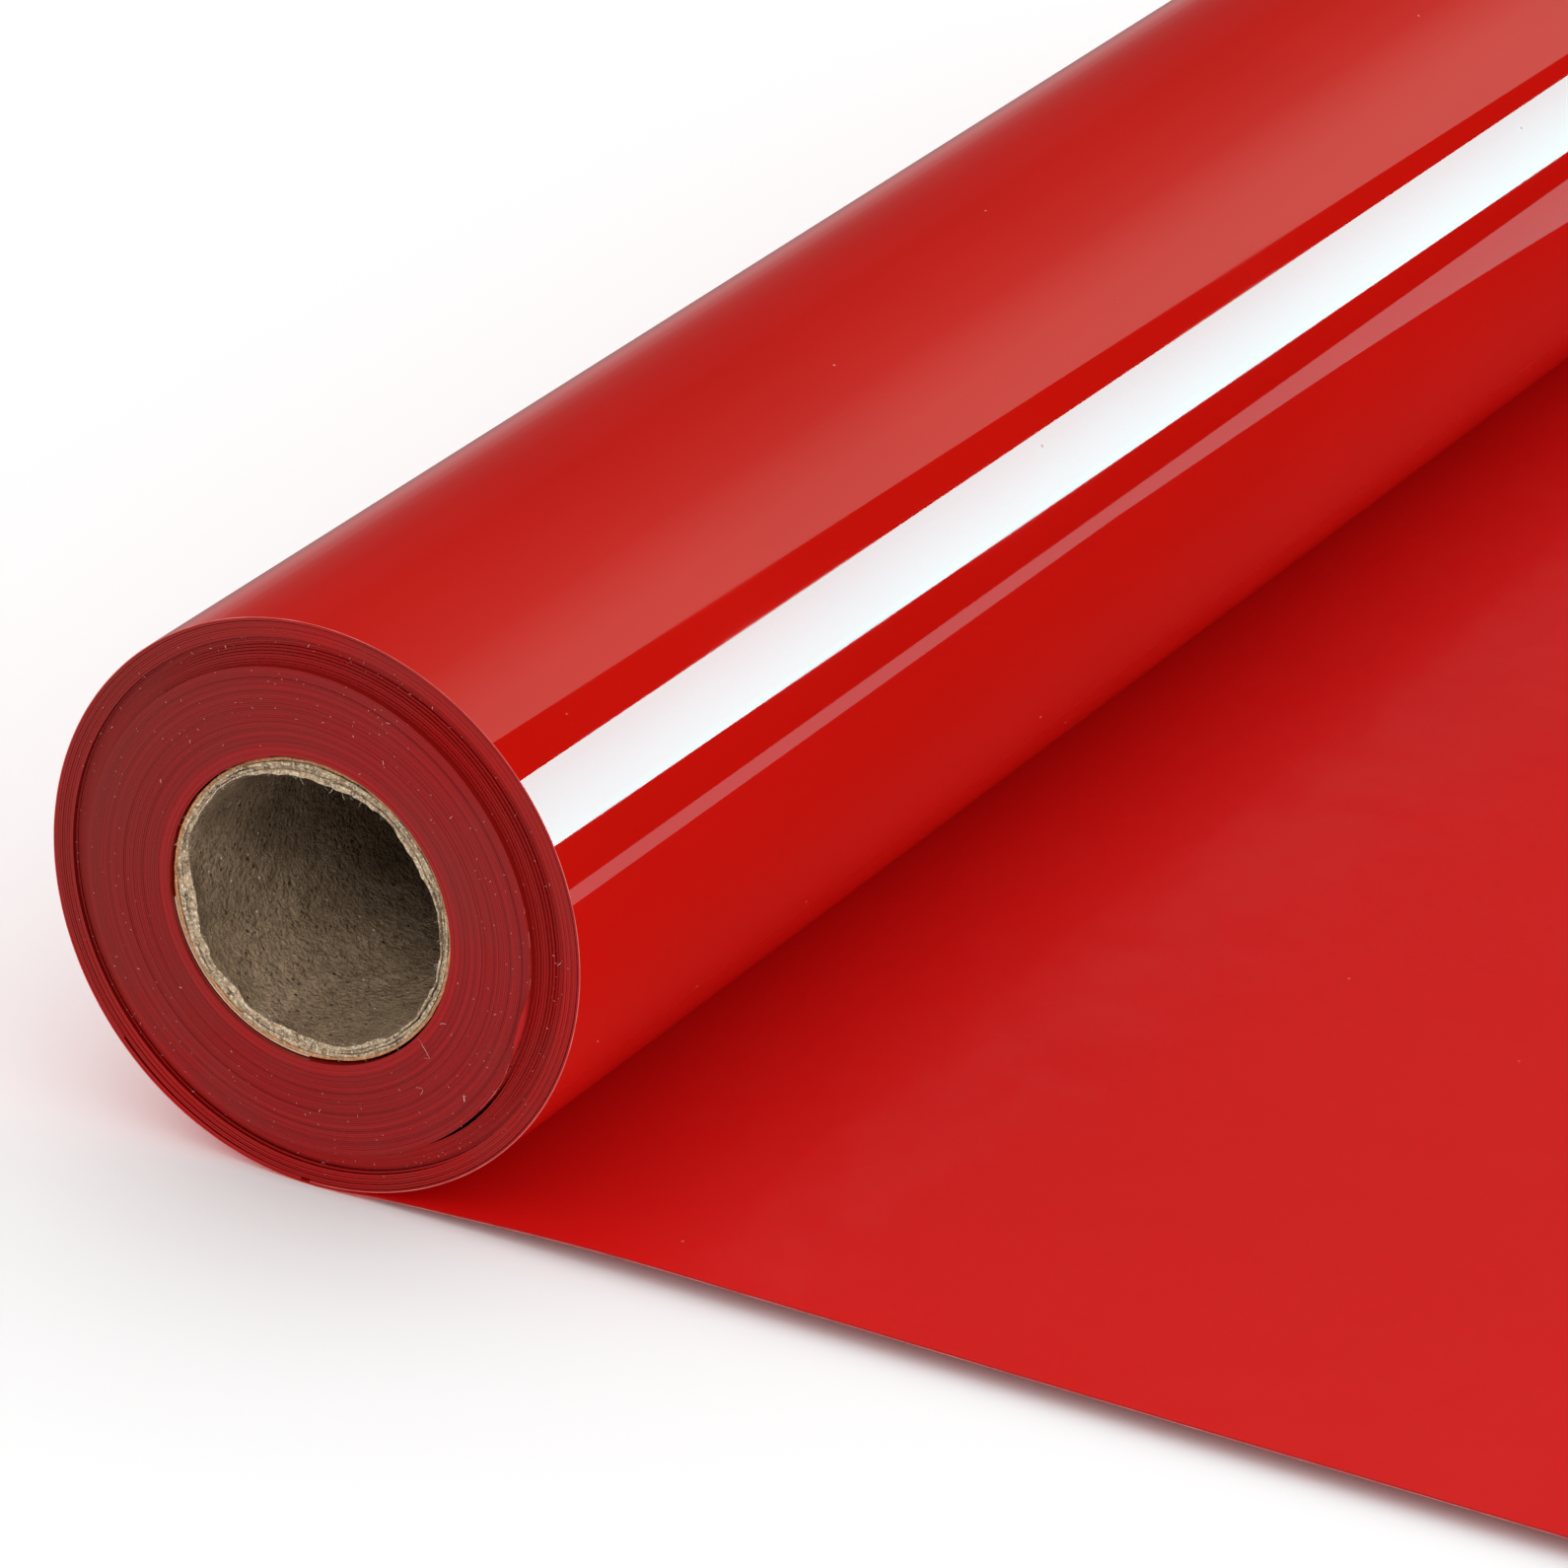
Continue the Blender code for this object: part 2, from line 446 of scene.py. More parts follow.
def kraft_tape():
    """The strip of paper tape under the first turn."""
    made = Nodes("kraft_tape", (0.72, 0.66, 0.50), 0.42)
    made.colour(made.ramp(made.noise(300, 4, stretch=(0.2, 1, 1)), [
        (0.3, (0.64, 0.57, 0.42)), (0.7, (0.77, 0.71, 0.56)),
    ]))
    made.rough(made.range(made.noise(600, 3), 0.3, 0.7, 0.34, 0.52))
    made.bumps((made.noise(1400, 3, stretch=(0.2, 1, 1)), 0.00003))
    return made.material


GLOSS = gloss_carrier()
UNDER = gloss_under()
SATIN = satin_film()
RIM = bright_edge()
# The last colour of each is the brown of the edges' dust and of their painted sheen.
FILM_EDGE = wound_edge(
    "wound_film_edge", (0.350, 0.0125, 0.0125), (0.255, 0.0088, 0.0092), (0.205, 0.026, 0.022)
)
CARRIER_EDGE = wound_edge(
    "wound_carrier_edge", (0.290, 0.0095, 0.0100), (0.190, 0.0062, 0.0068), (0.175, 0.023, 0.020)
)
LOOSE_FILM_EDGE = wound_edge(
    "loose_film_edge", (0.450, 0.0112, 0.0098), (0.330, 0.0080, 0.0074), (0.235, 0.025, 0.021)
)
LOOSE_CARRIER_EDGE = wound_edge(
    "loose_carrier_edge", (0.400, 0.0098, 0.0088), (0.270, 0.0066, 0.0063), (0.210, 0.022, 0.019)
)
FIRST_EDGE = wound_edge(
    "first_turns_edge", (0.360, 0.0105, 0.0115), (0.265, 0.0076, 0.0085), (0.255, 0.023, 0.021)
)
SHADED_WEB_SIDE = web_side()
BOARD_WALL = board_wall()
BOARD_END = board_end(
    "board_end", (0.12, 0.076, 0.042), (0.42, 0.290, 0.175), (0.78, 0.67, 0.50)
)
BOARD_RIM = board_end(
    "board_rim", (0.30, 0.130, 0.055), (0.50, 0.220, 0.095), (0.62, 0.38, 0.21)
)
FIBRE = fuzz("board_fibre", (0.42, 0.35, 0.25), (0.66, 0.59, 0.47))
LINT = fuzz("pale_lint", (0.66, 0.36, 0.33), (0.84, 0.68, 0.64))
TAPE = kraft_tape()


# ------------------------------------------------------------ wound turns

STEPS_PER_TURN = 132
ROUND_PART = 0.88  # of a turn that keeps its radius, where the turns are kept round
DROP_PART = 0.12  # of a turn, over which a web drops or steps to the next one
CARRIER_SHARE = 0.44  # of the web's thickness


def turned_by(outer, inner, pitch):
    """The angle that a web turns through on its way from radius outer to inner."""
    return 2 * math.pi * (outer - inner) / pitch


def wound_web(
    name, outer, inner, pitch, web, near_at, shift_at, start, body, nodes, materials,
    round_turns=0,
):
    """One continuous two-layer web wound from radius outer down to inner.

    near_at(radius, phi, turns) is where its near edge lies along X, and shift_at(radius,
    phi) how far it bulges outward there. The film is on the inside of the wind. The first
    round_turns turns keep their radius for most of the way round, and then drop.
    """
    turns = (outer - inner) / pitch
    steps = int(turns * STEPS_PER_TURN)
    t = np.linspace(0, turns, steps + 1)
    phi = start + 2 * math.pi * t
    part = t % 1
    level = part - np.where(part > ROUND_PART, (part - ROUND_PART) / DROP_PART, 0)
    fade = np.clip(1 - t / round_turns, 0, 1) if round_turns else 0
    out = outer - pitch * (t - level * fade)
    out = out + shift_at(out, phi)
    out = out + 0.012 * MM * ring_wobble(phi, 19, 5) + 0.007 * MM * wobble(t, 0.11, 11)
    split = out - web * CARRIER_SHARE
    inn = out - web
    near = near_at(out, phi, t)
    far = near + (FAR - NEAR)
    corners = [
        (near, inn), (near + 0.010 * MM, split), (near, out),
        (far, out), (far - 0.010 * MM, split), (far, inn),
    ]
    rings = np.stack([on_roll(x, r, phi) for x, r in corners], axis=1)
    swept(name, rings, [*materials, SHADED_WEB_SIDE], [0, 1, 2, 1, 0, 2], body, nodes)


def telescoped(turns, amount, seed):
    """How far each turn's edge stands in or out: slow drift, and a step at each turn."""
    drift = wobble(turns, 3.1, seed) + 0.5 * wobble(turns, 1.2, seed + 1)
    step = np.random.default_rng(seed + 2).uniform(-1, 1, int(turns.max()) + 3)
    whole = np.floor(turns).astype(int)
    share = np.clip((turns - whole) / DROP_PART, 0, 1)
    each = step[whole] * (1 - share) + step[whole + 1] * share
    return amount * (drift + 0.8 * each) / 2.3


PACK_SET_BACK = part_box("inner_pack")[0].x - NEAR
FIRST_SET_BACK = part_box("first_turns")[0].x - NEAR
CORE_SET_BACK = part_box("core_inner_ply")[0].x - NEAR


def node_radius(name):
    """The outer radius of a round CAD node."""
    return (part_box(name)[1].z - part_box(name)[0].z) / 2


PACK_OUTER = node_radius("inner_pack")
FIRST_OUTER = node_radius("first_turns")
CORE_OUTER = node_radius("core_outer_ply")
TAPE_OUTER = CORE_OUTER + 0.12 * MM


def pack_near(radius, phi, turns):
    """Where the pack's near edge lies along X: proud, and least so next to the core."""
    profile = np.interp(
        radius,
        [FIRST_OUTER, FIRST_OUTER + 3.0 * MM, PACK_OUTER - 1.6 * MM, PACK_OUTER],
        [FIRST_SET_BACK, PACK_SET_BACK + 0.04 * MM, PACK_SET_BACK, PACK_SET_BACK + 0.06 * MM],
    )
    return NEAR + profile + telescoped(turns, 0.055 * MM, 21)


def pack_bulge(radius, phi):
    """How far the pack is out of round, which grows from its inner turns to its outer."""
    thickness = PACK_OUTER - FIRST_OUTER
    return 0.05 * MM * ring_wobble(phi, 7, 31) * (radius - FIRST_OUTER) / thickness


def first_near(radius, phi, turns):
    """Where the first turns' near edge lies along X."""
    return NEAR + FIRST_SET_BACK + telescoped(turns, 0.05 * MM, 41)


def no_bulge(radius, phi):
    """Truly round."""
    return 0.0 * radius


# The web is continuous: the loose turns end at this angle, where the pack begins, and the
# first turns begin where the pack ends.
PACK_START = math.radians(114)
PACK_PITCH, LOOSE_PITCH = 0.190 * MM, 0.203 * MM

wound_web(
    "wound_pack_web", PACK_OUTER, FIRST_OUTER, PACK_PITCH, 0.180 * MM,
    pack_near, pack_bulge, PACK_START, "wound_pack", ["inner_pack"],
    [FILM_EDGE, CARRIER_EDGE],
)
wound_web(
    "first_turns_web", FIRST_OUTER, TAPE_OUTER + 0.19 * MM, 0.186 * MM, 0.178 * MM,
    first_near, no_bulge, PACK_START + turned_by(PACK_OUTER, FIRST_OUTER, PACK_PITCH),
    "wound_pack", ["first_turns"], [FIRST_EDGE, FIRST_EDGE],
)

LOOSE_OUTER = node_radius("loose_turns_outer") + 0.04 * MM
LOOSE_INNER = PACK_OUTER
LOOSE_TURNS = (LOOSE_OUTER - LOOSE_INNER) / LOOSE_PITCH
CRINKLE = 0.060  # of a turn: where the web shears from the loose turns out to the pack
# The loose turns' near edge: radius, and how far it is set back from the outermost turn's.
LOOSE_SET_BACKS = (
    [LOOSE_INNER, LOOSE_INNER + 0.7 * MM, LOOSE_INNER + 1.5 * MM, LOOSE_INNER + 2.1 * MM,
     LOOSE_INNER + 2.35 * MM, LOOSE_OUTER - 0.6 * MM, LOOSE_OUTER],
    [-0.45 * MM, -0.05 * MM, 0.72 * MM, 0.74 * MM, 0.22 * MM, 0.20 * MM, 0.05 * MM],
)


def crinkled(turns):
    """0 along the web, rising to 1 at its inner end."""
    share = np.clip((turns - (LOOSE_TURNS - CRINKLE)) / CRINKLE, 0, 1)
    return share * share * (3 - 2 * share)


def loose_near(radius, phi, turns):
    """Where the loose turns' near edge lies along X, with the groove halfway out."""
    edge = np.interp(radius, *LOOSE_SET_BACKS) + telescoped(turns, 0.085 * MM, 51)
    sheared = PACK_SET_BACK + 0.22 * MM + 0.14 * MM * wobble(turns, 0.006, 57)
    share = crinkled(turns)
    return NEAR + edge * (1 - share) + sheared * share


def loose_bulge(radius, phi):
    """The innermost loose turns stand off the pack at the lower right."""
    share = np.clip((LOOSE_OUTER - radius) / (LOOSE_OUTER - LOOSE_INNER), 0, 1)
    return share * (0.27 * MM * bump(phi, 136, 25) + 0.02 * MM * ring_wobble(phi, 13, 55))


wound_web(
    "loose_turns_web", LOOSE_OUTER, LOOSE_INNER, LOOSE_PITCH, 0.188 * MM,
    loose_near, loose_bulge, PACK_START - turned_by(LOOSE_OUTER, LOOSE_INNER, LOOSE_PITCH),
    "loose_roll", ["loose_turns_outer", "loose_turns_middle", "loose_turns_inner"],
    [LOOSE_FILM_EDGE, LOOSE_CARRIER_EDGE], round_turns=8,
)


def creased_flap():
    """The web's edge is folded over where it passes from the loose turns to the pack."""
    # By angle, in degrees: how far its top leans outward and stands proud, in millimetres.
    degrees = [72, 90, 95, 97, 99, 103, 107, 109, 111, 118, 130]
    lean = [-0.02, -0.01, 0.00, -0.14, -0.32, -0.42, -0.32, -0.12, -0.02, 0.00, -0.02]
    proud = [-0.04, 0.10, 0.20, 0.32, 0.36, 0.34, 0.36, 0.28, 0.16, 0.10, -0.04]
    phi = np.radians(np.linspace(72, 130, 240))
    lean = np.interp(np.degrees(phi), degrees, lean) * MM
    lean = lean + 0.03 * MM * ring_wobble(phi, 150, 65)
    proud = np.interp(np.degrees(phi), degrees, proud) * MM
    proud = proud + 0.02 * MM * ring_wobble(phi, 120, 66)
    base = NEAR + PACK_SET_BACK + 0.10 * MM
    skin = 0.07 * MM
    # It grows out of the pack's outermost turn, which steps outward where the pack begins.
    sunk = np.interp(np.degrees(phi), [72, 114.6, 118, 130], [0.22, 0.235, 0.04, 0.04])
    top = PACK_OUTER - sunk * MM
    root = base + 0 * phi
    corners = [
        (root, top),
        (base - 0.10 * MM - 0.75 * proud, top + 0.25 * lean),
        (base - 0.12 * MM - proud, top + lean),
        (base - 0.10 * MM - proud + skin, top + lean),
        (base - 0.10 * MM - 0.75 * proud + skin, top + 0.25 * lean - skin),
        (root, top - skin),
    ]
    rings = np.stack([on_roll(x, r, phi) for x, r in corners], axis=1)
    swept(
        "creased_flap", rings, [LOOSE_FILM_EDGE, RIM], [0, 0, 1, 1, 0, 0], "wound_pack",
        sharp=60,
    )


creased_flap()


# ----------------------------------------------------------- outermost turn

TURN_DROP = 0.26 * MM  # how much the radius falls over the outermost turn
# Where the web leaves the roll: distance in front of the axis, and height off the table.
TAIL = np.array([[1, 2, 3, 4, 5, 6], [0.01, 0.06, 0.14, 0.25, 0.37, 0.50]]) * MM


def turn_layer(name, depth, thickness, materials, which, node):
    """One layer of the outermost turn, from the flat web under the roll once round it.

    which picks the materials of its outer face, its cut edges and its inner face.
    """
    turned = np.linspace(0, 2 * math.pi, 361)
    columns = np.linspace(NEAR, FAR, 61)
    sides = []
    for side in (depth, depth + thickness):
        radius = RADIUS - side - TURN_DROP * turned / (2 * math.pi)
        arc_y = AXIS_Y + radius * np.sin(turned)
        arc_z = AXIS_Z - radius * np.cos(turned)
        y = np.concatenate([AXIS_Y - TAIL[0][::-1], arc_y])
        z = np.concatenate([TAIL[1][::-1] + side, arc_z])
        sides.append((y, z))
    (outer_y, outer_z), (inner_y, inner_z) = sides
    profile = [(np.full_like(outer_y, x), outer_y, outer_z) for x in columns]
    profile += [(np.full_like(inner_y, x), inner_y, inner_z) for x in columns[::-1]]
    points = np.stack([np.stack(p, axis=-1) for p in profile], axis=1)
    across = len(columns) - 1
    outside, edge, inside = which
    kinds = [outside] * across + [edge] + [inside] * across + [edge]
    swept(name, points, materials, kinds, "outer_turn", [node])


turn_layer(
    "outermost_carrier", 0, CARRIER, [GLOSS, RIM], (0, 1, 0),
    "outer_turn_carrier",
)
turn_layer(
    "outermost_film", CARRIER + BOND, FILM, [SATIN, FILM_EDGE], (0, 1, 0),
    "outer_turn_film",
)


def next_turn():
    """The web's next turn, wedged between the outermost one and the loose turns."""
    phi = np.radians(np.linspace(-178, 163, 360))
    room = TURN_DROP * (phi / (2 * math.pi) + 0.5)
    outer = RADIUS - CARRIER - BOND - FILM - room - 0.010 * MM
    inner = np.full_like(phi, LOOSE_OUTER + 0.035 * MM)
    near = NEAR + 0.05 * MM + 0.03 * MM * ring_wobble(phi, 31, 63)
    far = near + (FAR - NEAR) - 0.2 * MM
    corners = [(near, inner), (near, outer), (far, outer), (far, inner)]
    rings = np.stack([on_roll(x, r, phi) for x, r in corners], axis=1)
    swept(
        "next_turn_web", rings, [LOOSE_FILM_EDGE, SHADED_WEB_SIDE], [0, 1, 0, 1], "outer_turn",
    )


next_turn()


# ------------------------------------------------------------ drawn-out web

WEB_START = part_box("laid_film")[1].y
WEB_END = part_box("laid_film")[0].y
LIFT = 1.79 * MM  # the drawn-out web's height between the roll and the free end
FALL = 42 * MM  # how much of the free end comes down to the table
# The rise from the roll, as seen along the near edge: distance from the axis, and height.
RISE = np.array([
    [6.02, 7.7, 10.6, 13.6, 16.5, 19.4, 22.3, 25.3, 28.2, 31.1, 34, 38],
    [0.502, 0.64, 0.84, 1.01, 1.18, 1.34, 1.48, 1.60, 1.69, 1.75, 1.78, 1.79],
]) * MM


def lift_at(y):
    """The web rises from under the roll, stands off the table, and lies flat at its end."""
    fall = np.clip((y - WEB_END) / FALL, 0, 1)
    return np.interp(AXIS_Y - y, *RISE) * fall * fall * (3 - 2 * fall)


def laid_layer(name, bottom, thickness, materials, node):
    """One layer of the drawn-out web; its materials are top, underside and cut edges."""
    columns = np.linspace(NEAR, FAR, 49)
    rows = np.linspace(WEB_START, WEB_END, 141)
    x, y = np.meshgrid(columns, rows, indexing="ij")
    along = (WEB_START - y) / (WEB_START - WEB_END)
    wave = 0.14 * MM * np.sin(along * math.pi) ** 2 * (
        np.sin(x * 31 + 1.3) * 0.6 + np.sin(x * 17 - y * 40 + 0.4) * 0.4
    )
    height = lift_at(y) + np.maximum(wave * np.clip(lift_at(y) / LIFT, 0, 1), -0.3 * MM)
    low = np.stack([x, y, height + bottom], axis=-1)
    high = np.stack([x, y, height + bottom + thickness], axis=-1)
    n = len(columns) * len(rows)
    points = np.concatenate([low.reshape(-1, 3), high.reshape(-1, 3)])
    under = grid_faces(len(columns), len(rows))
    faces = under.tolist() + (under + n).tolist()
    kinds = [1] * len(under) + [0] * len(under)
    index = np.arange(n).reshape(len(columns), len(rows))
    edge = np.concatenate([index[:, 0], index[-1, 1:], index[-2::-1, -1], index[0, -2:0:-1]])
    after = np.roll(edge, -1)
    faces += np.stack([edge, after, after + n, edge + n], axis=-1).tolist()
    kinds += [2] * len(edge)
    piece = new_piece(name, points, faces, materials, kinds, "laid_web", [node])
    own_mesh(piece)
    return piece


carrier_web = laid_layer(
    "laid_carrier_web", 0, CARRIER, [UNDER, UNDER, RIM], "laid_carrier"
)
film_web = laid_layer(
    "laid_film_web", CARRIER + BOND, FILM, [SATIN, SATIN, FILM_EDGE], "laid_film"
)


# -------------------------------------------------------------------- core

PLIES = ("core_inner_ply", "core_middle_ply_1", "core_middle_ply_2", "core_outer_ply")
PLY = 0.29 * MM
# Where the sawn inner edge leans into the bore: angle and half-width in degrees, and how
# far it leans in millimetres.
BURRS = ((5, 34, 0.60), (-45, 26, -0.22), (-105, 30, 0.90), (-140, 22, 0.55), (-168, 24, 0.45),
         (60, 22, 0.12), (90, 30, -0.28), (160, 26, 0.25))


def burr(phi):
    """How far the core's sawn inner edge leans into the bore."""
    lean = sum(amount * bump(phi, angle, width) for angle, width, amount in BURRS)
    return (lean + 0.16 * ring_wobble(phi, 41, 61) + 0.08 * ring_wobble(phi, 130, 62)) * MM


def ply_ring(name, index, node, materials):
    """One ply, with a ragged sawn end, as rows of points that follow its cross-section."""
    outermost = index == len(PLIES) - 1
    inner = node_radius(node) - PLY
    outer = node_radius(node)
    near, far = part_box(node)[0].x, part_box(node)[1].x
    phi = np.linspace(0, 2 * math.pi, 481)[:-1]
    coarse, fine = ring_wobble(phi, 53, 70 + index), ring_wobble(phi, 170, 80 + index)
    ragged = (0.10 * coarse + 0.07 * fine) * MM
    ragged = ragged + (-0.06, 0.14, -0.02, 0.02)[index] * MM
    lean = burr(phi) * (0.62 ** index)
    split = 0.11 * MM * ring_wobble(phi, 23, 95 + index)
    rows = []

    def row(x, radius, leaning):
        rows.append(on_roll(x, radius - lean * leaning + split * leaning, phi))

    row(near + 0.02 * MM + ragged * 0.6, outer - 0.01 * MM, 0.0 if outermost else 0.45)
    row(near + ragged, (inner + outer) / 2, 0.1 if outermost else 0.85)
    row(near + 0.05 * MM + ragged * 0.8, inner + 0.01 * MM, 0.2 if outermost else 1.0)
    if index == 0:
        for depth, share in ((0.25, 0.92), (0.6, 0.66), (1.1, 0.36), (1.9, 0.12), (3.0, 0.0)):
            row(near + depth * MM, inner, share)
        for x in np.linspace(near + 6 * MM, far - 1 * MM, 40):
            row(np.full_like(phi, x), inner + 0.03 * MM * ring_wobble(phi + x * 40, 9, 97), 0)
    else:
        for depth, share in ((0.6, 0.5), (2.0, 0.0)):
            row(near + depth * MM, inner, share)
    row(far - 0.03 * MM - ragged * 0.5, inner, 0.0)
    row(far + ragged * 0.4, outer - 0.01 * MM, 0.0)
    row(near + 2.0 * MM + 0 * phi, outer, 0.0)
    row(near + 0.6 * MM + 0 * phi, outer, 0.0 if outermost else 0.22)
    rings = np.stack(rows, axis=0)
    count = len(rows)
    faces = grid_faces(count, len(phi), close_rows=True, close_columns=True)
    kinds = np.ones(count, int)
    kinds[0:2] = 0  # the near sawn end
    kinds[count - 4] = 0  # the far sawn end
    which = np.repeat(kinds, len(phi))
    new_piece(
        name, rings.reshape(-1, 3), faces.tolist(), materials, which, "wound_pack",
        [node], sharp=65,
    )


for number, ply in enumerate(PLIES):
    end = BOARD_RIM if ply == "core_outer_ply" else BOARD_END
    ply_ring(f"board_ply_{number + 1}", number, ply, [end, BOARD_WALL])

frame["nodes"]["start_tape"].data.materials.clear()
frame["nodes"]["start_tape"].data.materials.append(TAPE)


# ----------------------------------------------------------- fibres and lint

def curl(rng, start, direction, length, bend, count=6):
    """A short fibre from start, wandering as it goes."""
    points = [np.array(start, float)]
    heading = np.array(direction, float)
    for _ in range(count - 1):
        heading = heading / np.linalg.norm(heading) + rng.normal(0, bend, 3)
        heading /= np.linalg.norm(heading)
        points.append(points[-1] + heading * length / (count - 1))
    return points


def board_fuzz():
    """Fibres that stand off the core's sawn end and lie in its bore."""
    rng = np.random.default_rng(7)
    paths, widths = [], []
    inner = node_radius("core_inner_ply") - PLY
    near = NEAR + CORE_SET_BACK
    for _ in range(430):
        phi = rng.uniform(0, 2 * math.pi)
        dense = 1.0 + 0.7 * float(bump(np.array(phi), 5, 28))
        lean = float(burr(np.array([phi]))[0])
        radius = inner - lean * rng.uniform(0.5, 1.0) + rng.uniform(-0.1, 1.15) * MM
        start = on_roll(near + rng.uniform(-0.04, 0.12) * MM, radius, phi)[0]
        outward = on_roll(0, 1, phi)[0] - on_roll(0, 0, phi)[0]
        around = np.array([0, -math.cos(phi), -math.sin(phi)])
        heading = (
            np.array([-0.35, 0, 0]) * rng.uniform(0.1, 1) - outward * rng.uniform(-0.6, 0.6)
            + around * rng.uniform(-1, 1)
        )
        paths.append(curl(rng, start, heading, rng.uniform(0.3, 0.80) * MM * dense ** 0.5, 0.45))
        widths.append(rng.uniform(0.018, 0.045) * MM * dense ** 0.3)
    for _ in range(170):
        phi = rng.uniform(0, 2 * math.pi)
        start = on_roll(near + rng.uniform(0.8, 34) * MM, inner - 0.03 * MM, phi)[0]
        around = np.array([0, -math.cos(phi), -math.sin(phi)])
        heading = around * rng.uniform(-1, 1) + np.array([1, 0, 0]) * rng.uniform(-1, 1)
        paths.append(curl(rng, start, heading, rng.uniform(0.3, 1.1) * MM, 0.15))
        widths.append(rng.uniform(0.02, 0.05) * MM)
    hairs("core_fibres", paths, widths, FIBRE, "wound_pack")


board_fuzz()

# Lint on the pack's end: distance from the axis in outer radii, angle, then length, bend,
# width and the direction it lies in, from straight up. Lengths are in millimetres.
PACK_LINT = ((0.66, 25, 0.5, 0.2, 0.05, 20), (0.80, 21, 0.45, 0.2, 0.05, 70),
             (0.71, 48, 0.35, 0.2, 0.05, 40), (0.57, 117, 0.6, 0.3, 0.06, 30),
             (0.79, 130, 0.8, 0.1, 0.09, 5), (0.60, 131, 3.0, 0.55, 0.035, 75),
             (0.66, 140, 1.2, 0.5, 0.035, 100), (0.64, -60, 0.4, 0.3, 0.05, 0),
             (0.74, -120, 0.35, 0.3, 0.05, 50), (0.70, 175, 0.4, 0.3, 0.05, 20))


def lint(name, places, extra, inner, outer, depth, body, seed):
    """Lint on an end face at X = depth: the given pieces, and extra ones scattered at random."""
    rng = np.random.default_rng(seed)
    paths, widths = [], []
    for radius, angle, length, bend, width, direction in places:
        phi = math.radians(angle)
        start = on_roll(depth - 0.05 * MM, radius * RADIUS, phi)[0]
        turned = math.radians(direction)
        heading = np.array([0, -math.sin(turned), math.cos(turned)])
        paths.append(curl(rng, start, heading, length * MM, bend, 8))
        widths.append(width * MM)
    for _ in range(extra):
        phi = rng.uniform(0, 2 * math.pi)
        start = on_roll(depth - rng.uniform(0.0, 0.05) * MM, rng.uniform(inner, outer), phi)[0]
        heading = np.array([0, rng.uniform(-1, 1), rng.uniform(-1, 1)])
        paths.append(curl(rng, start, heading, rng.uniform(0.06, 0.28) * MM, 0.2, 4))
        widths.append(rng.uniform(0.02, 0.045) * MM)
    hairs(name, paths, widths, LINT, body)


GROOVE_LINT = ((0.90, 88, 0.5, 0.2, 0.05, 60),)

lint(
    "pack_lint", PACK_LINT, 70, FIRST_OUTER, PACK_OUTER, NEAR + PACK_SET_BACK - 0.08 * MM,
    "wound_pack", 15,
)
lint(
    "groove_lint", GROOVE_LINT, 120, LOOSE_INNER + 0.9 * MM, LOOSE_INNER + 2.0 * MM,
    NEAR + 0.42 * MM, "loose_roll", 16,
)


# ------------------------------------------------------- camera and studio

def make_camera():
    """The photograph's view: a long lens, low over the near end, tilted about 2 degrees."""
    azimuth, elevation = math.radians(-61.459), math.radians(25.031)
    back = Vector((
        math.sin(azimuth) * math.cos(elevation), -math.cos(azimuth) * math.cos(elevation),
        math.sin(elevation),
    ))
    target = Vector((NEAR + 1.658 * RADIUS, AXIS_Y - 0.799 * RADIUS, AXIS_Z))
    data = bpy.data.cameras.new("camera")
    data.lens, data.sensor_width = 225.2, 36
    data.clip_start, data.clip_end = 0.01, 100
    camera = bpy.data.objects.new("camera", data)
    bpy.context.scene.collection.objects.link(camera)
    camera.rotation_mode = "QUATERNION"
    camera.location = target + back * 32.477 * RADIUS
    tilt = Quaternion((0, 0, 1), math.radians(2.128))
    camera.rotation_quaternion = (-back).to_track_quat("-Z", "Y") @ tilt
    bpy.context.scene.camera = camera


def stage_mesh(name, corners, material):
    """A flat polygon of the stage, which isn't part of the object."""
    mesh = bpy.data.meshes.new(name)
    mesh.from_pydata(corners, [], [list(range(len(corners)))])
    mesh.materials.append(material)
    made = bpy.data.objects.new(name, mesh)
    bpy.context.scene.collection.objects.link(made)
    return made


def make_floor():
    """The plain pale table."""
    made = Nodes("pale_table", (0.96, 0.96, 0.96), 0.85, Specular_IOR_Level=0.05)
    made.colour(made.ramp(made.noise(3, 2), [
        (0.3, (0.965, 0.965, 0.965)), (0.7, (0.975, 0.975, 0.975)),
    ]))
    half = 8.0
    corners = [(-half, -half, 0), (half, -half, 0), (half, half, 0), (-half, half, 0)]
    stage_mesh("table_top", corners, made.material)


